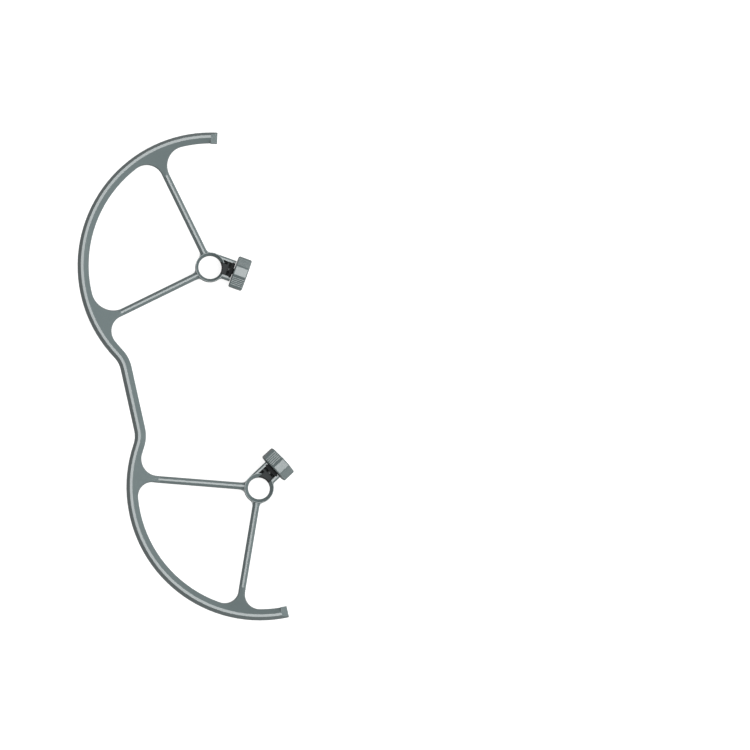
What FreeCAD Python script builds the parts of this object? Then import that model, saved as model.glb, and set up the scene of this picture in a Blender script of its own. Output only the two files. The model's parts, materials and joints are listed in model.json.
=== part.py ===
import FreeCAD, Part
import math
import os

# A propeller guard for the left side of a folding camera drone.
# One moulding shields the front and the rear propeller, and a hand knob at each hub clamps it on.
# Millimetres and degrees. +Y is the drone's front, +X its middle, +Z is up.
# The origin is on the front clamp ring's axis, at the ring's underside.

# The drone that the guard fits
motor_spacing = 176.7
hub_line_lean = 12.36
front_foot_radius = 9.15
rear_foot_radius = 8.6
propeller_radius = 91.5
blade_tip_clearance = 3.9

# The rim's section
rim_width = 8.6
rim_land_width = 2.1
rim_edge_width = 2.3
rim_edge_drop = 3.6
rim_wall = 2.4
rim_slope = 35.0
skirt_height = 9.0
skirt_wall = 2.0

# The rim's route
front_tip_angle = 87.1
rear_tip_angle = 282.4
link_distance = 81.9
bend_radius = 24.0
end_pad_length = 5.2
end_pad_flare = 0.25
end_pad_fall = 2.6
end_pad_step = 0.4

# The struts and their webs
strut_width = 5.3
strut_land = 1.5
strut_root_depth = 6.5
strut_tip_depth = 4.8
strut_rise = 9.4
strut_step = 1.0
ridge_step = 0.4
web_run = 20.6
web_rib = 1.4
web_bevel = 0.9
root_fillet = 5.0

# The clamp ring and its neck
ring_wall = 2.35
ring_height = 10.0
lead_in_land = 0.45
lead_in_depth = 2.5
screw_offset = 3.45
channel_width = 10.8
neck_wall = 2.9
neck_floor = 1.5
neck_bevel = 1.2
neck_fillet = 3.5
window_width = 8.6

# The knob
knob_distance = 18.3
knob_length = 10.9
knob_wide_face = 12.8
knob_narrow_face = 6.7
knob_chamfer = 0.8
knob_edge_round = 0.6
knob_gap = 0.5
knob_dish_radius = 7.5
knob_dish_depth = 1.0
grip_grooves_a_face = 5
grip_groove_pitch = 1.75
grip_groove_width = 0.8
grip_groove_depth = 0.3

# The screw, its threaded insert block and the shoe that it pushes
screw_radius = 2.5
screw_fit = 0.05
screw_neck_radius = 1.5
screw_button_radius = 2.3
screw_button_length = 0.9
hex_head_flats = 8.0
hex_head_height = 3.5
insert_length = 2.8
insert_drop = 1.2
insert_tongue = 1.2
insert_tongue_reach = 0.7
shoe_clearance = 0.2
shoe_retreat = 1.6
shoe_lip = 0.9
shoe_play = 0.1
shoe_shoulder = 1.4
pad_thickness = 0.8

# Where each strut points, how far it runs beside the hub's centre, anticlockwise positive,
# and the radii of its web on the anticlockwise and clockwise sides
front_struts = [
    {"angle": 116.5, "aside": -0.8, "web_before": 13.6, "web_after": 14.2},
    {"angle": 206.4, "aside": 1.2, "web_before": 13.2, "web_after": 16.8},
]
rear_struts = [
    {"angle": 175.9, "aside": -0.8, "web_before": 11.6, "web_after": 12.8},
    {"angle": 260.2, "aside": 0.0, "web_before": 11.4, "web_after": 11.4},
]
front_knob_angle = -20.0
rear_knob_angle = 43.2
front_knob_turn = -3.0
rear_knob_turn = 15.0

# Sizes that follow from those above
Vector = FreeCAD.Vector
up = Vector(0, 0, 1)
rim_half = rim_width / 2
rim_inner_radius = propeller_radius + blade_tip_clearance
rim_middle_radius = rim_inner_radius + rim_half
land_inner = rim_half - rim_edge_width - rim_land_width
land_radius = rim_middle_radius + land_inner
end_pad_angle = math.degrees(math.asin(end_pad_length / rim_middle_radius))
slope_rise = math.tan(math.radians(rim_slope))
strut_half = strut_width / 2
strut_root_top = ring_height - strut_step
web_start_radius = land_radius - web_run
strut_tip_top = strut_root_top + strut_rise
rim_top = strut_tip_top - ridge_step + web_run * slope_rise
rim_bottom = rim_top - skirt_height
ring_radius = max(front_foot_radius, rear_foot_radius) + ring_wall
screw_height = ring_height / 2
channel_low = screw_offset - channel_width / 2
channel_high = screw_offset + channel_width / 2
neck_low = channel_low - neck_wall
window_high = channel_low + window_width
neck_end = knob_distance - knob_gap
channel_end = neck_end - insert_length
knob_end = knob_distance + knob_length
half_across_wide = (knob_wide_face + math.sqrt(2) * knob_narrow_face) / 2
wide_face_angles = (45, 135, 225, 315)
head_end = knob_end - knob_dish_depth
head_seat = head_end - hex_head_height
hole_radius = screw_radius + screw_fit
tongue_start = channel_end + (insert_length - insert_tongue) / 2
tongue_end = tongue_start + insert_tongue
shoe_back = channel_end - shoe_retreat - shoe_clearance
shoe_low = channel_low + shoe_clearance
shoe_high = window_high - shoe_clearance
shoe_foot = neck_floor + shoe_clearance
shoe_top = ring_height - lead_in_depth
lip_start = shoe_back - shoe_lip
button_end = lip_start - shoe_play
button_start = button_end - screw_button_length
front_hub = Vector(0, 0, 0)
tolerance = 0.01


def direction(angle):
    turned = math.radians(angle)
    return Vector(math.cos(turned), math.sin(turned), 0)


def closed_face(edges):
    return Part.Face(Part.Wire(edges))


def polygon_face(points):
    return Part.Face(Part.makePolygon(points + [points[0]]))


def web_top(radius):
    """The height of the webs and of the rim's inner slope at this distance from the hub."""
    return rim_top - (land_radius - radius) * slope_rise


def face_across_rim(middle, outward, outline):
    """A face across the rim, from points given as the distance outward from its middle and the height."""
    return polygon_face([middle + outward * side + up * height for side, height in outline])


def rim_section(middle, outward):
    """The rim's moulded section: steep outer edge, land, inner slope, wall and skirt."""
    inner_drop = (land_inner + rim_half) * slope_rise
    skirt_inside = rim_half - skirt_wall
    return face_across_rim(middle, outward, [
        (rim_half, rim_top - rim_edge_drop),
        (rim_half - rim_edge_width, rim_top),
        (land_inner, rim_top),
        (-rim_half, rim_top - inner_drop),
        (-rim_half, rim_top - inner_drop - rim_wall),
        (land_inner, rim_top - rim_wall),
        (skirt_inside - rim_edge_width / 2, rim_top - rim_wall),
        (skirt_inside, rim_top - rim_wall - rim_edge_drop / 2),
        (skirt_inside, rim_bottom),
        (rim_half, rim_bottom),
    ])


def rim_pieces():
    """The two arcs, the two bends and the straight link, each ending where the next begins."""
    along = direction(hub_line_lean - 90)
    outward = direction(hub_line_lean + 180)
    outward_angle = hub_line_lean + 180
    reach = rim_middle_radius + bend_radius
    bend_turn = math.degrees(math.acos((link_distance + bend_radius) / reach))
    front_end_angle = outward_angle + bend_turn
    rear_start_angle = outward_angle - bend_turn
    bend_advance = reach * math.sin(math.radians(bend_turn))
    link_length = motor_spacing - 2 * bend_advance
    link_start = front_hub + outward * link_distance + along * bend_advance

    front_start = direction(front_tip_angle + end_pad_angle)
    front_arc = rim_section(front_hub + front_start * rim_middle_radius, front_start).revolve(
        front_hub, up, front_end_angle - front_tip_angle - end_pad_angle)
    rear_start = direction(rear_start_angle)
    rear_arc = rim_section(rear_hub + rear_start * rim_middle_radius, rear_start).revolve(
        rear_hub, up, rear_tip_angle - rear_start_angle - end_pad_angle)
    front_end = direction(front_end_angle)
    front_bend = rim_section(front_hub + front_end * rim_middle_radius, front_end).revolve(
        front_hub + front_end * reach, up, -bend_turn)
    rear_bend = rim_section(rear_hub + rear_start * rim_middle_radius, rear_start).revolve(
        rear_hub + rear_start * reach, up, bend_turn)
    link = rim_section(link_start, outward).extrude(along * link_length)
    return [front_arc, front_bend, link, rear_bend, rear_arc]


def end_pad(hub, tip_angle, turn):
    """The solid block that closes a rim end, with a top that falls towards the tip."""
    outward = direction(tip_angle)
    onward = direction(tip_angle + 90 * turn)
    inside = -rim_half - end_pad_flare
    section = face_across_rim(hub + outward * rim_middle_radius, outward, [
        (rim_half, rim_top - rim_edge_drop),
        (rim_half - rim_edge_width, rim_top),
        (inside, rim_top),
        (inside, rim_bottom),
        (rim_half, rim_bottom),
    ])
    block = section.revolve(hub, up, -turn * end_pad_angle)

    def above_slope(lengths, falls):
        return (hub + outward * (rim_inner_radius - rim_width) + onward * (lengths * end_pad_length)
                + up * (rim_top - end_pad_step + falls * end_pad_fall))
    above = polygon_face([above_slope(-2, 1), above_slope(1, -2), above_slope(1, 2), above_slope(-2, 2)])
    return block.cut(above.extrude(outward * (3 * rim_width)))


def web_hollow(strut, side):
    """The radius of one of the web's hollow sides, and where its centre lies along and beside the strut."""
    radius = strut["web_before"] if side > 0 else strut["web_after"]
    sideways = strut_half + radius + strut["aside"] * side
    forward = math.sqrt((rim_inner_radius - radius) ** 2 - sideways ** 2)
    return radius, forward, sideways


def web_root(strut):
    """Where the web's plate starts: inside the strut, and nearer the hub than both hollow sides."""
    hollow_starts = [web_hollow(strut, side)[1] for side in (1, -1)]
    return min(web_start_radius - strut_half, min(hollow_starts) - web_bevel)


def web_plan(hub, strut):
    """The web's outline from above: both sides leave the strut and sweep into the rim's inner edge."""
    along = direction(strut["angle"])
    edges = []
    corners = []
    for side in (1, -1):
        radius, forward, sideways = web_hollow(strut, side)
        across = direction(strut["angle"] + 90 * side)
        centre = hub + along * forward + across * sideways
        on_strut = centre - across * radius
        on_rim = hub + (centre - hub).normalize() * rim_inner_radius
        towards = ((on_strut - centre) + (on_rim - centre)).normalize()
        edges.append(Part.Arc(on_strut, centre + towards * radius, on_rim).toShape())
        corners.append((on_strut, on_rim, centre, radius))
    left, right = corners
    root = hub + along * web_root(strut)
    across = direction(strut["angle"] + 90)
    left_root = root + across * (strut["aside"] + strut_half)
    right_root = root + across * (strut["aside"] - strut_half)
    crown = hub + along * rim_inner_radius
    edges.append(Part.Arc(left[1], crown, right[1]).toShape())
    edges.append(Part.makeLine(right[0], right_root))
    edges.append(Part.makeLine(right_root, left_root))
    edges.append(Part.makeLine(left_root, left[0]))
    outline = Part.Wire(Part.__sortEdges__(edges))
    return Part.Face(outline), [(centre, radius) for _, _, centre, radius in corners]


def web(hub, strut):
    """A plate that carries on the rim's inner slope down to the strut, bevelled along its two hollow sides."""
    plan, hollows = web_plan(hub, strut)
    away = direction(strut["angle"] + 180)
    root = web_root(strut)
    section = polygon_face([
        hub + away * root + up * web_top(root),
        hub + away * rim_inner_radius + up * web_top(rim_inner_radius),
        hub + away * rim_inner_radius + up * (web_top(rim_inner_radius) - rim_wall),
        hub + away * root + up * (web_top(root) - rim_wall),
    ])
    cone = section.revolve(hub, up, 360)
    solid = cone.common(plan.extrude(up * rim_top)).Solids[0]
    sharp = [edge for edge in solid.Edges if is_hollow_top(edge, hub, hollows)]
    return solid.makeChamfer(web_bevel, sharp)


def is_hollow_top(edge, hub, hollows):
    """True for an upper edge along one of the web's two hollow sides."""
    middle = edge.valueAt((edge.FirstParameter + edge.LastParameter) / 2)
    flat = Vector(middle.x, middle.y, 0)
    on_top = abs(middle.z - web_top((flat - hub).Length)) < tolerance
    return on_top and any(abs((flat - centre).Length - radius) < tolerance for centre, radius in hollows)


def strut_section(hub, strut, distance, top, depth):
    along = direction(strut["angle"])
    across = direction(strut["angle"] + 90)
    shoulder = top - (strut_width - strut_land) / 2
    corners = [
        (-strut_half, top - depth), (strut_half, top - depth), (strut_half, shoulder),
        (strut_land / 2, top), (-strut_land / 2, top), (-strut_half, shoulder),
    ]
    points = [hub + along * distance + across * (strut["aside"] + side) + up * height
              for side, height in corners]
    return Part.makePolygon(points + [points[0]])


def strut_ridge(hub, strut):
    """A ridged strut from the ring to its web, and the rib that it becomes below the web."""
    rib_end = rim_inner_radius + rim_half / 2
    hidden = rim_wall / 2
    sections = [
        strut_section(hub, strut, ring_radius - ring_wall / 2, strut_root_top, strut_root_depth),
        strut_section(hub, strut, web_start_radius, strut_tip_top, strut_tip_depth),
        strut_section(hub, strut, rib_end, web_top(rib_end) - hidden, rim_wall + web_rib - hidden),
    ]
    return Part.makeLoft(sections, True, True)


def strut_root(hub, strut):
    """The small flare where a strut leaves the ring."""
    along = direction(strut["angle"])
    across = direction(strut["angle"] + 90)
    inner = ring_radius - ring_wall / 2
    edges = []
    ends = []
    for side in (1, -1):
        sideways = strut_half + root_fillet + strut["aside"] * side
        forward = math.sqrt((ring_radius + root_fillet) ** 2 - sideways ** 2)
        centre = along * forward + across * (sideways * side)
        on_strut = centre - across * (root_fillet * side)
        on_ring = Vector(centre).normalize() * ring_radius
        towards = ((on_strut - centre) + (on_ring - centre)).normalize()
        edges.append(Part.Arc(hub + on_strut, hub + centre + towards * root_fillet, hub + on_ring).toShape())
        ends.append((on_strut, on_ring, Vector(centre).normalize() * inner))
    left, right = ends
    edges.append(Part.makeLine(hub + left[0], hub + right[0]))
    edges.append(Part.makeLine(hub + left[1], hub + left[2]))
    edges.append(Part.makeLine(hub + left[2], hub + right[2]))
    edges.append(Part.makeLine(hub + right[2], hub + right[1]))
    flare = Part.Face(Part.Wire(Part.__sortEdges__(edges)))
    flare.translate(up * (strut_root_top - strut_root_depth))
    return flare.extrude(up * (strut_root_depth - (strut_width - strut_land) / 2))


def box(low, high):
    size = high - low
    return Part.makeBox(size.x, size.y, size.z, low)


def neck_block():
    """The neck beside the ring, filled: tangent to the ring on one side, filleted to it on the other,
    with its two upper edges bevelled."""
    bevel_foot = ring_height - neck_bevel
    section = [
        Vector(0, neck_low, 0), Vector(0, ring_radius, 0), Vector(0, ring_radius, bevel_foot),
        Vector(0, ring_radius - neck_bevel, ring_height), Vector(0, neck_low + neck_bevel, ring_height),
        Vector(0, neck_low, bevel_foot),
    ]
    block = polygon_face(section).extrude(Vector(neck_end, 0, 0))
    sideways = neck_low - neck_fillet
    forward = math.sqrt((ring_radius + neck_fillet) ** 2 - sideways ** 2)
    centre = Vector(forward, sideways, 0)
    on_neck = Vector(forward, neck_low, 0)
    on_ring = Vector(centre).normalize() * ring_radius
    towards = ((on_neck - centre) + (on_ring - centre)).normalize()
    inside = Vector(ring_radius - ring_wall, neck_low + neck_wall / 2, 0)
    corner = closed_face([
        Part.Arc(on_neck, centre + towards * neck_fillet, on_ring).toShape(),
        Part.makeLine(on_ring, inside),
        Part.makeLine(inside, on_neck),
    ])
    return block.fuse(corner.extrude(up * bevel_foot))


def neck_hollow(foot_radius):
    """What the neck and ring leave open: the bore with its lead-in, the shoe's channel and the insert's pocket."""
    bore = Part.makeCylinder(foot_radius, ring_height)
    lead_in = Part.makeCone(foot_radius, ring_radius - lead_in_land, lead_in_depth,
                            up * (ring_height - lead_in_depth))
    channel_top = ring_height + neck_floor
    window = box(Vector(0, channel_low, neck_floor), Vector(channel_end, window_high, channel_top))
    side_room = box(Vector(0, window_high, neck_floor), Vector(channel_end, channel_high, channel_top))
    side_room = side_room.cut(Part.makeCylinder(ring_radius, channel_top))
    return [bore, lead_in, window, side_room, insert_pocket(channel_top)]


def insert_pocket(top):
    """The insert's place at the neck's end, with a groove in each wall for its tongues, up to this height."""
    place = box(Vector(channel_end, channel_low, neck_floor), Vector(neck_end, channel_high, top))
    tongues = box(Vector(tongue_start, channel_low - insert_tongue_reach, neck_floor),
                  Vector(tongue_end, channel_high + insert_tongue_reach, top))
    return place.fuse(tongues).removeSplitter()


def along_screw(radius, start, end):
    """A cylinder on the screw's axis."""
    return Part.makeCylinder(radius, end - start, Vector(start, screw_offset, screw_height), Vector(1, 0, 0))


def beside_screw(x, outward, sideways, angle):
    """The point at x along the screw that lies outward and sideways of its axis, in a direction turned by the angle."""
    turned = math.radians(angle)
    return Vector(x, screw_offset + outward * math.cos(turned) - sideways * math.sin(turned),
                  screw_height + outward * math.sin(turned) + sideways * math.cos(turned))


def hexagon(flats, start, end):
    corner = flats / math.sqrt(3)
    points = [beside_screw(start, corner, 0, 60 * n) for n in range(6)]
    return polygon_face(points).extrude(Vector(end - start, 0, 0))


def grip_grooves():
    """Shallow V grooves along each of the knob's wide faces."""
    grooves = []
    for angle in wide_face_angles:
        for n in range(grip_grooves_a_face):
            middle = (n - (grip_grooves_a_face - 1) / 2) * grip_groove_pitch
            outline = [
                beside_screw(knob_distance, half_across_wide - grip_groove_depth, middle, angle),
                beside_screw(knob_distance, half_across_wide + grip_groove_depth, middle - grip_groove_width, angle),
                beside_screw(knob_distance, half_across_wide + grip_groove_depth, middle + grip_groove_width, angle),
            ]
            grooves.append(polygon_face(outline).extrude(Vector(knob_length, 0, 0)))
    return grooves


def knob(turn):
    """An eight-sided knob of wide and narrow faces in turn, bored for the screw and its head."""
    points = [beside_screw(knob_distance, half_across_wide, side * knob_wide_face / 2, angle)
              for angle in wide_face_angles for side in (-1, 1)]
    body = polygon_face(points).extrude(Vector(knob_length, 0, 0))
    body = body.makeChamfer(knob_chamfer, [edge for edge in body.Edges if not runs_along(edge)])
    body = body.makeFillet(knob_edge_round, [edge for edge in body.Edges if runs_along(edge)])
    body = body.cut(grip_grooves() + [
        along_screw(hole_radius, knob_distance, knob_end),
        along_screw(knob_dish_radius, head_end, knob_end),
        hexagon(hex_head_flats + 2 * screw_fit, head_seat, knob_end),
    ])
    body.rotate(Vector(0, screw_offset, screw_height), Vector(1, 0, 0), turn)
    return body


def runs_along(edge):
    """True for a straight edge that lies along the screw's direction."""
    step = edge.Vertexes[-1].Point - edge.Vertexes[0].Point
    return abs(step.y) < tolerance and abs(step.z) < tolerance


def clamp_screw(turn):
    """The screw that the knob turns: hex head, shank, thin neck and the button that the shoe holds."""
    shank_start = shoe_back + shoe_play
    pieces = [
        along_screw(screw_radius, shank_start, head_seat),
        along_screw(screw_neck_radius, button_end, shank_start),
        along_screw(screw_button_radius, button_start, button_end),
        hexagon(hex_head_flats, head_seat, head_end),
    ]
    solid = pieces[0].fuse(pieces[1:]).removeSplitter()
    solid.rotate(Vector(0, screw_offset, screw_height), Vector(1, 0, 0), turn)
    return solid


def thread_insert():
    """The block that carries the screw's thread, dropped into its pocket from above."""
    block = insert_pocket(ring_height - insert_drop)
    return block.cut(along_screw(hole_radius, channel_end, neck_end))


def clamp_shoe(foot_radius):
    """The sliding shoe: a tongue through the ring's window, a shoulder behind the ring and, from below, a slot
    for the button."""
    tongue = box(Vector(0, shoe_low, shoe_foot), Vector(shoe_back, shoe_high, shoe_top))
    shoulder = box(Vector(shoe_back - shoe_shoulder, shoe_low, shoe_foot),
                   Vector(shoe_back, channel_high - shoe_clearance, shoe_top))
    body = tongue.fuse(shoulder)
    neck_room = screw_neck_radius + shoe_play
    button_room = screw_button_radius + shoe_play
    pocket_start = button_start - shoe_play
    body = body.cut([
        Part.makeCylinder(foot_radius + pad_thickness, ring_height),
        along_screw(neck_room, lip_start, shoe_back),
        box(Vector(lip_start, screw_offset - neck_room, 0),
            Vector(shoe_back, screw_offset + neck_room, screw_height)),
        along_screw(button_room, pocket_start, lip_start),
        box(Vector(pocket_start, screw_offset - button_room, 0),
            Vector(lip_start, screw_offset + button_room, screw_height)),
    ])
    return body.removeSplitter()


def shoe_pad(foot_radius):
    """The rubber face of the shoe, flush with the ring's bore."""
    tongue = box(Vector(0, shoe_low, shoe_foot), Vector(shoe_back, shoe_high, shoe_top))
    band = Part.makeCylinder(foot_radius + pad_thickness, ring_height)
    return tongue.common(band.cut(Part.makeCylinder(foot_radius, ring_height)))


rear_hub = direction(hub_line_lean - 90) * motor_spacing
clamps = [
    {"name": "front", "hub": front_hub, "foot_radius": front_foot_radius, "struts": front_struts,
     "knob_angle": front_knob_angle, "knob_turn": front_knob_turn},
    {"name": "rear", "hub": rear_hub, "foot_radius": rear_foot_radius, "struts": rear_struts,
     "knob_angle": rear_knob_angle, "knob_turn": rear_knob_turn},
]


def placed(shape, clamp):
    """A shape drawn beside a ring at the origin, turned and moved to this clamp's hub."""
    moved = shape.copy()
    moved.rotate(Vector(0, 0, 0), up, clamp["knob_angle"])
    moved.translate(clamp["hub"])
    return moved


def guard_frame():
    solids = rim_pieces()
    solids.append(end_pad(front_hub, front_tip_angle, -1))
    solids.append(end_pad(rear_hub, rear_tip_angle, 1))
    hollows = []
    for clamp in clamps:
        hub = clamp["hub"]
        solids.append(Part.makeCylinder(ring_radius, ring_height, hub))
        solids.append(placed(neck_block(), clamp))
        for strut in clamp["struts"]:
            solids.append(strut_ridge(hub, strut))
            solids.append(strut_root(hub, strut))
            solids.append(web(hub, strut))
        hollows += [placed(hollow, clamp) for hollow in neck_hollow(clamp["foot_radius"])]
    whole = solids[0].fuse(solids[1:])
    return whole.cut(hollows).removeSplitter()


def write(name, shape):
    print(name, "solids", len(shape.Solids), "valid", shape.isValid(), "volume", round(shape.Volume, 1),
          "faces", len(shape.Faces))
    shape.Solids[0].exportStep(os.path.join("parts", name + ".step"))


os.makedirs("parts", exist_ok=True)
write("guard_frame", guard_frame())
for clamp in clamps:
    name = clamp["name"]
    write(name + "_knob", placed(knob(clamp["knob_turn"]), clamp))
    write(name + "_clamp_screw", placed(clamp_screw(clamp["knob_turn"]), clamp))
    write(name + "_thread_insert", placed(thread_insert(), clamp))
    write(name + "_clamp_shoe", placed(clamp_shoe(clamp["foot_radius"]), clamp))
    write(name + "_shoe_pad", placed(shoe_pad(clamp["foot_radius"]), clamp))
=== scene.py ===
# %% [markdown]
# # Dressing a drone's propeller guard
#
# The guard shields the two propellers on a folding drone's left side. It is one grey moulding with a
# clamp ring under each motor, and a hand knob beside each ring drives a screw that presses a rubber-faced
# shoe against the motor's foot. The engineering model already holds every piece at its real size. This
# lesson gives the pieces their finish, adds the fine forms that such a model leaves out, and sets up the
# light, the floor and the camera.

# %% Load the engineering model
import json
import math

import bmesh
import bpy
from mathutils import Matrix, Vector


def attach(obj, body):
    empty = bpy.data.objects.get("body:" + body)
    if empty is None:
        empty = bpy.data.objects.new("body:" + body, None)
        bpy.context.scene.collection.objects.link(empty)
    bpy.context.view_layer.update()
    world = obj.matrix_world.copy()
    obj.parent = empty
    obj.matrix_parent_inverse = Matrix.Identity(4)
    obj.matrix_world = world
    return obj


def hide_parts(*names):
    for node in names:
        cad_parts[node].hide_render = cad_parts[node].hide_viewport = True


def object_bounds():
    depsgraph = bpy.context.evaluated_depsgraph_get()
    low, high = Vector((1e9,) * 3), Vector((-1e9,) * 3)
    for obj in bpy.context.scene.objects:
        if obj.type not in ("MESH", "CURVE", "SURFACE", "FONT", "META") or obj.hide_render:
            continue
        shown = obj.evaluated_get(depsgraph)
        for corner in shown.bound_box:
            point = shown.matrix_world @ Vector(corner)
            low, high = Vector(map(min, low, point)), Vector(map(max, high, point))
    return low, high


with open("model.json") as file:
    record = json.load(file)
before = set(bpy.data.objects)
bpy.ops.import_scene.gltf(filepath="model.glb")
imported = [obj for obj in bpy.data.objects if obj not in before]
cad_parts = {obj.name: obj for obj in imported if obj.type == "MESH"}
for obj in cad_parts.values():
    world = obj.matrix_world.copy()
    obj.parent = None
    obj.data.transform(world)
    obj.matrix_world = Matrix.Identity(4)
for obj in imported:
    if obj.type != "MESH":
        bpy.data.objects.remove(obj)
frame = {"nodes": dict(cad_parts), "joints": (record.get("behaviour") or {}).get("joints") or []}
nodes = frame["nodes"]
engineering_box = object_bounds()

# %% [markdown]
# ## Where the two clamps are
#
# Each clamp is built round its screw, so the screw's axis is the natural ruler for it. The joints say
# where the axis lies and which way it points. A small class keeps these directions together, turns a
# place along the screw into a place in the model, and measures how far a piece reaches along the screw.
# Reading places from the model is better than typing them in again: if the model changes, they follow.

# %% The clamps' axes
MILLIMETRE = 0.001
UP = Vector((0, 0, 1))
joints = {joint["name"]: joint for joint in frame["joints"]}


class Clamp:
    """One end of the guard, with its screw's axis as a local X."""

    def __init__(self, name):
        turning = joints[name + "_knob_turn"]
        self.name = name
        self.turner = turning["child"]
        self.outward = Vector(turning["axis"]).normalized()
        self.place = Matrix((
            (self.outward.x, -self.outward.y, 0, turning["pos_m"][0]),
            (self.outward.y, self.outward.x, 0, turning["pos_m"][1]),
            (0, 0, 1, turning["pos_m"][2]),
            (0, 0, 0, 1),
        ))

    def reach(self, node):
        """Where a piece starts and ends along the screw."""
        to_local = self.place.inverted()
        along = [(to_local @ vertex.co).x for vertex in nodes[node].data.vertices]
        return min(along), max(along)


clamps = [Clamp("front"), Clamp("rear")]
for clamp in clamps:
    print(clamp.name, "clamp points", [round(part, 3) for part in clamp.outward])

# %% [markdown]
# ## Writing materials as arithmetic
#
# A material is a tree of nodes, and most of a tree is plain sums: this much noise added to that much
# roughness. Wiring those sums by hand is slow to write and hard to read. So one class wraps a socket and
# gives it Python's operators, and each operator adds the Math node that does the sum. Every other kind of
# node comes from one method that takes the node's type, its settings and what goes into its sockets.

# %% A socket that can be added and multiplied
class Level:
    """A number that varies over the surface, as an output socket of a material's nodes."""

    def __init__(self, finish, socket):
        self.finish = finish
        self.socket = socket

    def sum(self, operation, first, second):
        return self.finish.node("ShaderNodeMath", {"operation": operation}, {0: first, 1: second})

    def __add__(self, other):
        return self.sum("ADD", self, other)

    def __sub__(self, other):
        return self.sum("SUBTRACT", self, other)

    def __rsub__(self, other):
        return self.sum("SUBTRACT", other, self)

    def __mul__(self, other):
        return self.sum("MULTIPLY", self, other)

    __radd__ = __add__
    __rmul__ = __mul__


class Finish:
    """A material that is built up node by node round one glossy plastic, metal or rubber shader."""

    def __init__(self, name, **looks):
        self.material = bpy.data.materials.new(name)
        self.material.use_nodes = True
        self.tree = self.material.node_tree
        self.tree.nodes.clear()
        self.shader = self.tree.nodes.new("ShaderNodeBsdfPrincipled")
        output = self.tree.nodes.new("ShaderNodeOutputMaterial")
        self.tree.links.new(self.shader.outputs["BSDF"], output.inputs["Surface"])
        self.where = self.node("ShaderNodeTexCoord", {}, {}, "Object")
        for socket, value in looks.items():
            self.feed(socket.replace("_", " "), value)

    def node(self, kind, settings, inputs, output=0):
        """Adds a node, sets it up, feeds its sockets and gives back one of its outputs."""
        made = self.tree.nodes.new(kind)
        for name, value in settings.items():
            setattr(made, name, value)
        for name, value in inputs.items():
            self.connect(made.inputs[name], value)
        return Level(self, made.outputs[output])

    def connect(self, socket, value):
        """Links a level to a socket, or sets the socket to a plain value."""
        if isinstance(value, Level):
            self.tree.links.new(value.socket, socket)
        else:
            socket.default_value = value

    def feed(self, socket, value):
        """Sets or links a socket of the shader itself."""
        self.connect(self.shader.inputs[socket], value)

    def noise(self, size, detail=2.0):
        """Cloudy values from 0 to 1 whose lumps are about this large, in metres."""
        lumps = {"Vector": self.where, "Scale": 1 / size, "Detail": detail}
        return self.node("ShaderNodeTexNoise", {}, lumps, "Fac")

    def blend(self, amount, first, second):
        """A colour between two, by an amount from 0 to 1."""
        return self.node("ShaderNodeMix", {"data_type": "RGBA"}, {0: amount, 6: first, 7: second}, 2)

    def mask(self, first, second):
        """A product that is held between 0 and 1."""
        held = {"operation": "MULTIPLY", "use_clamp": True}
        return self.node("ShaderNodeMath", held, {0: first, 1: second})


print("materials are written with Level and Finish")

# %% [markdown]
# ## Soft edges and fine grain
#
# No moulded edge is perfectly sharp, and the soft line of light along an edge is what makes plastic look
# real. Rounding every edge of the mesh would be heavy. The Bevel node instead bends the shading normal
# within a small distance of each edge, which looks the same at this size. A mould is also spark-eroded or
# blasted, which leaves a grain too fine to feel, so a Bump node adds it on top of the rounded normal.

# %% The normal that every finish shares
EDGE_SAMPLES = 6


def soften(finish, edge_radius, grain_size, grain_depth):
    """Rounds the edges' shading and adds a fine grain to the surface."""
    rounded = finish.node("ShaderNodeBevel", {"samples": EDGE_SAMPLES}, {"Radius": edge_radius}, "Normal")
    bumped = finish.node("ShaderNodeBump", {}, {
        "Strength": 1.0,
        "Distance": grain_depth,
        "Height": finish.noise(grain_size),
        "Normal": rounded,
    })
    finish.feed("Normal", bumped)


print("edges are rounded by shading")

# %% [markdown]
# ## Where the edges are
#
# Edges get handled first, so they carry the first fine scuffs, and scuffed plastic is paler and duller. The
# photo is too coarse to show any, so these are a guess. The shader can find the edges by itself. Near an
# edge the rounded normal leans away from the plain one, so their dot product drops below one there. A noise
# breaks the line up, so that it looks worn and not drawn.

# %% A mask for the scuffed edges
SCUFF_REACH = 0.7 * MILLIMETRE
SCUFF_LUMPS = 3 * MILLIMETRE
SCUFF_DETAIL = 4.0
SCUFF_GAIN = 5.0


def scuffed(finish):
    """From 0 on open faces to 1 along the most handled edges."""
    rounded = finish.node("ShaderNodeBevel", {"samples": 4}, {"Radius": SCUFF_REACH}, "Normal")
    plain = finish.node("ShaderNodeNewGeometry", {}, {}, "Normal")
    alike = finish.node("ShaderNodeVectorMath", {"operation": "DOT_PRODUCT"}, {0: rounded, 1: plain}, "Value")
    return finish.mask(SCUFF_GAIN * (1 - alike), finish.noise(SCUFF_LUMPS, SCUFF_DETAIL))


print("edges can be found by shading too")

# %% [markdown]
# ## Painted shade in the deep channels
#
# The opposite of an edge is the channel behind each clamp ring. Its floor renders lighter than the photo's
# rear neck, so painted shade makes it darker here, and a higher roughness makes it duller. That is a match
# to the picture, not a known finish, and it leaves the front neck too dark. The Ambient Occlusion node
# measures how much open space a point sees. Only points that see less than half of it count as deep.

# %% A mask for the painted shade in the deep channels
CHANNEL_REACH = 6 * MILLIMETRE
OPEN_ENOUGH = 0.5
CHANNEL_GAIN = 3.0


def painted_channel_shade(finish):
    """Painted shade: from 0 on open faces to 1 deep inside a channel."""
    openness = finish.node("ShaderNodeAmbientOcclusion", {"samples": 8}, {"Distance": CHANNEL_REACH}, "AO")
    return finish.mask(OPEN_ENOUGH - openness, CHANNEL_GAIN)


print("deep channels can be found by shading too")
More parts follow.
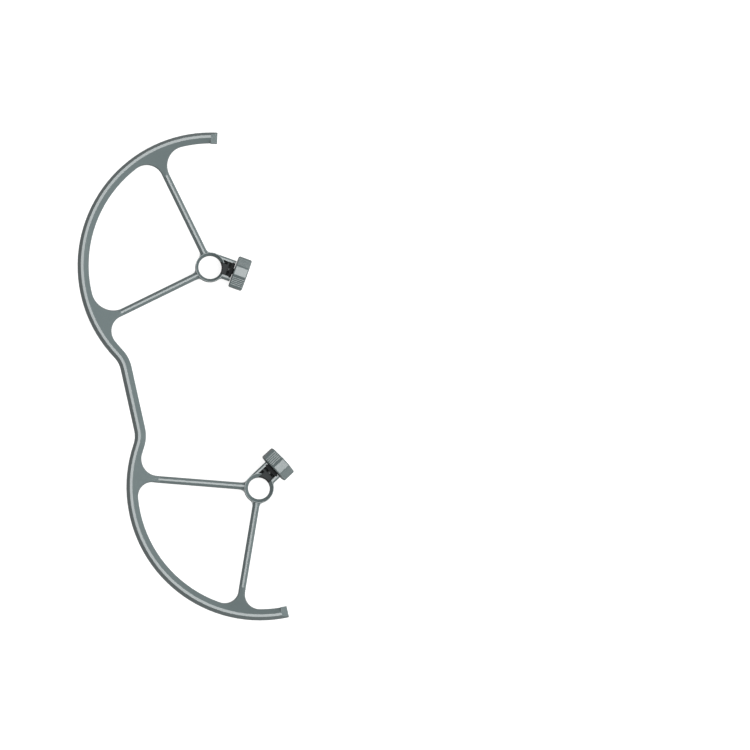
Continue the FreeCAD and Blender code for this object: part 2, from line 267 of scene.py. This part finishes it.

# %% [markdown]
# ## The grey moulding
#
# The guard and the knobs look like the same satin grey plastic with a faint green cast. Two things keep
# such plastic from looking like paint: its colour drifts a little where the melt flowed, and its gloss does
# the same. Both are slow noises with a small reach, because a moulding that looks blotchy looks wrong. The
# two masks then lay the scuffs on the edges and a painted shade in the channels, over the moulded colour.
# The refractive index is above a real plastic's, because the photo's highlights are strong.

# %% Grey plastic
GREY = (0.103, 0.131, 0.133, 1)
LIGHT_GREY = (0.128, 0.161, 0.162, 1)
SCUFFED_GREY = (0.190, 0.225, 0.226, 1)
# painted shade: the near-black grey that the deep channels are painted towards
CHANNEL_SHADE_GREY = (0.020, 0.025, 0.025, 1)
FLOW_LUMPS = 18 * MILLIMETRE
SPECK_SIZE = 0.5 * MILLIMETRE
SATIN_IOR = 1.7


def grey_plastic(name, grain_size, grain_depth, edge_radius):
    """Satin grey plastic, scuffed at its edges, with painted shade in its channels."""
    finish = Finish(name, IOR=SATIN_IOR)
    flow = finish.noise(FLOW_LUMPS)
    speck = finish.noise(SPECK_SIZE, 1.0)
    wear = scuffed(finish)
    channel_shade = painted_channel_shade(finish)
    moulded = finish.blend(0.7 * flow + 0.3 * speck, GREY, LIGHT_GREY)
    worn = finish.blend(wear, moulded, SCUFFED_GREY)
    # painted shade: the occlusion mask darkens deep channels to a near-black grey, and it also dulls them
    finish.feed("Base Color", finish.blend(channel_shade, worn, CHANNEL_SHADE_GREY))
    finish.feed("Roughness", 0.25 + 0.06 * flow + 0.04 * speck + 0.08 * wear + 0.55 * channel_shade)
    soften(finish, edge_radius, grain_size, grain_depth)
    return finish.material


frame_plastic = grey_plastic("frame_plastic_finish", 0.35 * MILLIMETRE, 0.012 * MILLIMETRE, 0.35 * MILLIMETRE)
knob_plastic = grey_plastic("knob_plastic_finish", 0.28 * MILLIMETRE, 0.02 * MILLIMETRE, 0.25 * MILLIMETRE)
print("made", frame_plastic.name, "and", knob_plastic.name)

# %% [markdown]
# ## The clamp's dark inside
#
# The shoe slides, and the block behind it carries the screw's thread, so both are hard dark plastic with
# little shine. Their near-black is partly painted shade: it is set dark enough to stand in for the shade
# that the knob casts over the neck. The shoe's face is soft rubber, which hardly shines at all: a high
# roughness and a coarser grain say rubber even where only a strip of it shows.

# %% Shoe and insert plastic, and pad rubber
DARK_SHINE = 0.2
DARK_EDGE_RADIUS = 0.15 * MILLIMETRE
GRAIN_CONTRAST = 1.5


def dark_finish(name, colour, roughness, grain_size, grain_depth):
    """A nearly black, dull surface whose grain is a little paler than its ground."""
    finish = Finish(name, Specular_IOR_Level=DARK_SHINE)
    grain = finish.noise(grain_size)
    lighter = tuple(GRAIN_CONTRAST * part for part in colour[:3]) + (1,)
    finish.feed("Base Color", finish.blend(grain, colour, lighter))
    finish.feed("Roughness", roughness + 0.1 * grain)
    soften(finish, DARK_EDGE_RADIUS, grain_size, grain_depth)
    return finish.material


# partly painted shade: the shoe's and the insert's near-black also stand in for the shade beside the knob
shoe_plastic = dark_finish("shoe_plastic_finish", (0.020, 0.023, 0.024, 1), 0.58,
                           0.4 * MILLIMETRE, 0.015 * MILLIMETRE)
insert_plastic = dark_finish("insert_plastic_finish", (0.008, 0.009, 0.010, 1), 0.62,
                             0.3 * MILLIMETRE, 0.012 * MILLIMETRE)
pad_rubber = dark_finish("pad_rubber_finish", (0.016, 0.016, 0.016, 1), 0.75,
                         0.5 * MILLIMETRE, 0.05 * MILLIMETRE)
print("made", shoe_plastic.name, insert_plastic.name, "and", pad_rubber.name)

# %% [markdown]
# ## Plated steel
#
# A turned screw carries rings from the tool. No bright metal shows in the photo's necks, so the plating is
# given dark and cloudy, which is a guess. For the rings the noise is squeezed along the screw's axis, so
# that its lumps become rings round it. The two screws point different ways, so each clamp gets a finish of
# its own, turned to its own axis.

# %% Turned metal
ZINC = (0.20, 0.21, 0.21, 1)
DULL_ZINC = (0.14, 0.15, 0.15, 1)
ZINC_ROUGHNESS = 0.42
ZINC_EDGE_RADIUS = 0.12 * MILLIMETRE
CLOUD_SIZE = 1.5 * MILLIMETRE
RING_SPACING = 0.15 * MILLIMETRE
RING_REACH = 6 * MILLIMETRE
RING_DEPTH = 0.006 * MILLIMETRE


def turned_metal(clamp):
    """Plated metal with fine rings round the clamp's screw."""
    finish = Finish(clamp.name + "_steel_finish", Metallic=1.0)
    local = finish.node("ShaderNodeMapping", {"vector_type": "TEXTURE"}, {
        "Vector": finish.where,
        "Rotation": (0, 0, math.atan2(clamp.outward.y, clamp.outward.x)),
        "Scale": (RING_SPACING, RING_REACH, RING_REACH),
    })
    rings = finish.node("ShaderNodeTexNoise", {}, {"Vector": local, "Scale": 1.0, "Detail": 1.0}, "Fac")
    cloud = finish.noise(CLOUD_SIZE)
    finish.feed("Base Color", finish.blend(cloud, DULL_ZINC, ZINC))
    finish.feed("Roughness", ZINC_ROUGHNESS + 0.12 * rings + 0.08 * cloud)
    rounded = finish.node("ShaderNodeBevel", {"samples": EDGE_SAMPLES}, {"Radius": ZINC_EDGE_RADIUS}, "Normal")
    finish.feed("Normal", finish.node("ShaderNodeBump", {}, {
        "Strength": 1.0, "Distance": RING_DEPTH, "Height": rings, "Normal": rounded}))
    return finish.material


for clamp in clamps:
    clamp.steel = turned_metal(clamp)
    print("made", clamp.steel.name)

# %% [markdown]
# ## Giving the pieces their finish
#
# The engineering pieces keep their shape. Each one only swaps the plain colour that it came with for its
# new finish, in every material slot that it has.

# %% Dress the engineering pieces
def dress(node, material):
    for slot in nodes[node].material_slots:
        slot.material = material


dress("guard_frame", frame_plastic)
for clamp in clamps:
    dress(clamp.name + "_knob", knob_plastic)
    dress(clamp.name + "_clamp_shoe", shoe_plastic)
    dress(clamp.name + "_shoe_pad", pad_rubber)
    dress(clamp.name + "_thread_insert", insert_plastic)
print("dressed the moulding, knobs, shoes, pads and inserts")

# %% [markdown]
# ## A round piece whose outline changes with the angle
#
# The screw is turned, so it could be a lathe shape: a few rings of points along an axis, joined by faces.
# But its head has six sides and its thread climbs as it goes round. Both fit the same idea if each ring's
# radius may depend on the angle. One closed skin then runs from the tip to the top of the head, with no
# pieces pushed into each other.

# %% A lathe for shapes that aren't quite round
def lathe(name, rings, segments):
    """A closed mesh along X. Each ring is its place along X and a function from angle to radius."""
    mesh = bmesh.new()
    loops = []
    for along, radius in rings:
        loop = []
        for step in range(segments):
            angle = 2 * math.pi * step / segments
            reach = radius(angle)
            loop.append(mesh.verts.new((along, reach * math.cos(angle), reach * math.sin(angle))))
        loops.append(loop)
    for near, far in zip(loops, loops[1:]):
        for step in range(segments):
            onward = (step + 1) % segments
            mesh.faces.new((near[step], near[onward], far[onward], far[step]))
    mesh.faces.new(reversed(loops[0]))
    mesh.faces.new(loops[-1])
    bmesh.ops.recalc_face_normals(mesh, faces=mesh.faces)
    made = bpy.data.meshes.new(name)
    mesh.to_mesh(made)
    mesh.free()
    piece = bpy.data.objects.new(name, made)
    bpy.context.scene.collection.objects.link(piece)
    return piece


def circle(radius):
    """The radius of a plain round ring, whatever the angle."""
    return lambda angle: radius


print("the lathe is ready")

# %% [markdown]
# ## The screw's thread
#
# The engineering model has a plain shank, because a thread is slow to work with there. In the neck's open
# channel the thread shows, so here it is cut for real: a 5 mm screw with 0.8 mm from one turn to the next.
# Along a ring the place in the turn moves with the angle, and that alone makes the groove climb. The
# groove fades in over the first turn, as a die leaves it.

# %% The thread's form
THREAD_RADIUS = 2.5 * MILLIMETRE
THREAD_DEPTH = 0.46 * MILLIMETRE
PITCH = 0.8 * MILLIMETRE
CREST_SHARE = 0.2
STEPS_A_TURN = 10


def thread(along, start):
    """The radius round the shank at this place along it, for a thread that begins at start."""
    fade = min(1.0, (along - start) / PITCH)

    def radius(angle):
        place = (along / PITCH - angle / (2 * math.pi)) % 1.0
        groove = max(0.0, 1 - abs(2 * place - 1) - CREST_SHARE) / (1 - CREST_SHARE)
        return THREAD_RADIUS - THREAD_DEPTH * (fade * groove + (1 - fade))

    return radius


print("a thread has", STEPS_A_TURN, "rings a turn")

# %% [markdown]
# ## The whole screw
#
# From its tip the screw has a flat button that turns in the shoe's slot, a thin neck that the slot's lips
# close on, the threaded shank, and a hexagonal head sunk in the knob so that the two turn as one. A turned
# hexagon's corners are cut by a shallow cone, which a smaller of two radii gives. The piece stands for the
# plain screw of the engineering model, begins and ends where that one does, and turns with the knob.

# %% Make both screws
BUTTON_RADIUS = 2.3 * MILLIMETRE
BUTTON_LENGTH = 0.9 * MILLIMETRE
BUTTON_ROUND = 0.15 * MILLIMETRE
NECK_RADIUS = 1.5 * MILLIMETRE
NECK_LENGTH = 1.1 * MILLIMETRE
HEAD_FLATS = 8.0 * MILLIMETRE
HEAD_HEIGHT = 3.5 * MILLIMETRE
HEAD_CONE = 0.35 * MILLIMETRE
HEAD_TOP_SHARE = 0.96
SCREW_SEGMENTS = 48
SMOOTH_BELOW = math.radians(35)


def hexagon(turn, limit=math.inf):
    """The radius of a six-sided head, cut off by a cone where that is smaller."""
    def radius(angle):
        from_flat = (angle - turn) % (math.pi / 3) - math.pi / 6
        return min(HEAD_FLATS / 2 / math.cos(from_flat), limit)
    return radius


def screw_rings(tip, top, turn):
    """The rings of one screw, from its tip to the top of its head."""
    button_end = tip + BUTTON_LENGTH
    shank_start = button_end + NECK_LENGTH
    seat = top - HEAD_HEIGHT
    rings = [
        (tip, circle(BUTTON_RADIUS - BUTTON_ROUND)),
        (tip + BUTTON_ROUND, circle(BUTTON_RADIUS)),
        (button_end - BUTTON_ROUND, circle(BUTTON_RADIUS)),
        (button_end, circle(BUTTON_RADIUS - BUTTON_ROUND)),
        (button_end, circle(NECK_RADIUS)),
        (shank_start, circle(NECK_RADIUS)),
    ]
    steps = int((seat - shank_start) / PITCH * STEPS_A_TURN)
    for step in range(steps + 1):
        along = shank_start + (seat - shank_start) * step / steps
        rings.append((along, thread(along, shank_start)))
    rings.append((seat, hexagon(turn)))
    rings.append((top - HEAD_CONE, hexagon(turn)))
    rings.append((top, hexagon(turn, HEAD_FLATS / 2 * HEAD_TOP_SHARE)))
    return rings


def head_turn(clamp):
    """The angle of one corner of the head, read from the engineering screw."""
    to_local = clamp.place.inverted()
    points = [to_local @ vertex.co for vertex in nodes[clamp.name + "_clamp_screw"].data.vertices]
    corner = max(points, key=lambda point: math.hypot(point.y, point.z))
    return math.atan2(corner.z, corner.y)


for clamp in clamps:
    tip, top = clamp.reach(clamp.name + "_clamp_screw")
    screw = lathe(clamp.name + "_threaded_screw", screw_rings(tip, top, head_turn(clamp)), SCREW_SEGMENTS)
    screw.data.transform(clamp.place)
    screw.data.materials.append(clamp.steel)
    screw.data.shade_smooth()
    screw.data.set_sharp_from_angle(angle=SMOOTH_BELOW)
    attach(screw, clamp.turner)
    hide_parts(clamp.name + "_clamp_screw")
    length = round((top - tip) / MILLIMETRE, 1)
    print(screw.name, "is", length, "mm long, with", len(screw.data.polygons), "faces")

# %% [markdown]
# ## The floor
#
# The guard lies on a white sweep. A floor bright enough to look white would throw so much light back that
# the guard's undersides and edges would turn pale. So the floor is a mid grey that also glows, and the
# Light Path node shows that glow to the camera alone. The steep edges stay dark against the white, and a
# trace of the contact shadow is left.

# %% A white floor
FLOOR_GAP = 0.2 * MILLIMETRE
FLOOR_SIZE = 60.0
FLOOR_GREY = (0.35, 0.35, 0.35, 1)
FLOOR_GLOW = 0.82

floor_finish = Finish("floor_finish", Roughness=0.9, Base_Color=FLOOR_GREY, Emission_Strength=FLOOR_GLOW)
floor_finish.feed("Emission Color", floor_finish.node("ShaderNodeLightPath", {}, {}, "Is Camera Ray"))
bpy.ops.mesh.primitive_plane_add(size=FLOOR_SIZE, location=(0, 0, engineering_box[0][2] - FLOOR_GAP))
floor = bpy.context.object
floor.name = "floor"
floor.data.materials.append(floor_finish.material)
print("the floor lies at", round(floor.location.z / MILLIMETRE, 2), "mm")

# %% [markdown]
# ## Studio light
#
# Satin plastic shows its shape by what it mirrors. A broad lamp nearly straight above, round the camera,
# makes every level face shine and leaves the sloped ones dark. That draws the bright line along the rim and
# the ridge of each strut. A second lamp on the right tells the two sides of each slope apart. It is hidden
# from glossy rays, because its mirror image would turn the pads at the rim's tips white.

# %% Lamps
TARGET = Vector((0.1285, -0.0842, 0.0075))


def lamp(name, azimuth, elevation, distance, size, strength, shines=True):
    """A round lamp that faces the guard. Strength is the light that it gives a surface that faces it."""
    flat, rise = math.radians(azimuth), math.radians(elevation)
    away = Vector((math.cos(flat) * math.cos(rise), math.sin(flat) * math.cos(rise), math.sin(rise)))
    light = bpy.data.lights.new(name, "AREA")
    light.shape = "DISK"
    light.size = size
    light.energy = strength * math.pi * distance ** 2
    made = bpy.data.objects.new(name, light)
    made.location = TARGET + away * distance
    made.rotation_euler = away.to_track_quat("Z", "Y").to_euler()
    made.visible_glossy = shines
    bpy.context.scene.collection.objects.link(made)
    print(name, "stands", distance, "m away and is", size, "m across")


lamp("overhead_softbox", azimuth=-5, elevation=78, distance=9.5, size=9.7, strength=4.4)
lamp("right_key", azimuth=0, elevation=30, distance=6.0, size=2.0, strength=1.3, shines=False)

# %% [markdown]
# ## The sky
#
# The sky may be three things at once, because the Light Path node tells who is looking. To the plastic's
# matt colour it is a weak fill, so the slopes stay dark. To a glossy surface it is a little brighter, so
# metal has something to mirror. To the camera it is plain white, like the floor.

# %% A sky that shows each ray its own strength
SKY_FILL = 0.08
SKY_SHINE = 0.3
SKY_WHITE = 1.0

sky = bpy.data.worlds.new("studio")
sky.use_nodes = True
bpy.context.scene.world = sky
background = sky.node_tree.nodes["Background"]
background.inputs["Color"].default_value = (1, 1, 1, 1)
rays = sky.node_tree.nodes.new("ShaderNodeLightPath")
for_gloss = sky.node_tree.nodes.new("ShaderNodeMix")
for_camera = sky.node_tree.nodes.new("ShaderNodeMix")
for_gloss.inputs["A"].default_value = SKY_FILL
for_gloss.inputs["B"].default_value = SKY_SHINE
for_camera.inputs["B"].default_value = SKY_WHITE
for start, end in (
    (rays.outputs["Is Glossy Ray"], for_gloss.inputs["Factor"]),
    (rays.outputs["Is Camera Ray"], for_camera.inputs["Factor"]),
    (for_gloss.outputs["Result"], for_camera.inputs["A"]),
    (for_camera.outputs["Result"], background.inputs["Strength"]),
):
    sky.node_tree.links.new(start, end)
print("the sky fills at", SKY_FILL, "and shines at", SKY_SHINE)

# %% [markdown]
# ## The camera
#
# The view is almost straight down with a very long lens from far away, so the outline keeps its true
# proportions. A tilt and a lean of a few degrees let the raised rims shift a little against the rings below
# them. The frame's width at the guard is the number to choose, and the lens follows from it.

# %% A long lens from above
FRAME_WIDTH = 0.585
CAMERA_DISTANCE = 20.0
CAMERA_TILT = math.radians(3.2)
CAMERA_LEAN = math.radians(2.4)
SENSOR = 36.0

camera = bpy.data.objects.new("camera", bpy.data.cameras.new("camera"))
camera.data.sensor_width = SENSOR
camera.data.lens = SENSOR * CAMERA_DISTANCE / FRAME_WIDTH
camera.data.clip_end = 2 * CAMERA_DISTANCE
turn = Matrix.Rotation(CAMERA_TILT, 4, "X") @ Matrix.Rotation(-CAMERA_LEAN, 4, "Y")
camera.matrix_world = Matrix.Translation(TARGET) @ turn @ Matrix.Translation(UP * CAMERA_DISTANCE)
bpy.context.scene.collection.objects.link(camera)
bpy.context.scene.camera = camera
bpy.context.scene.view_settings.view_transform = "Standard"
print("the camera sees", FRAME_WIDTH, "m across")
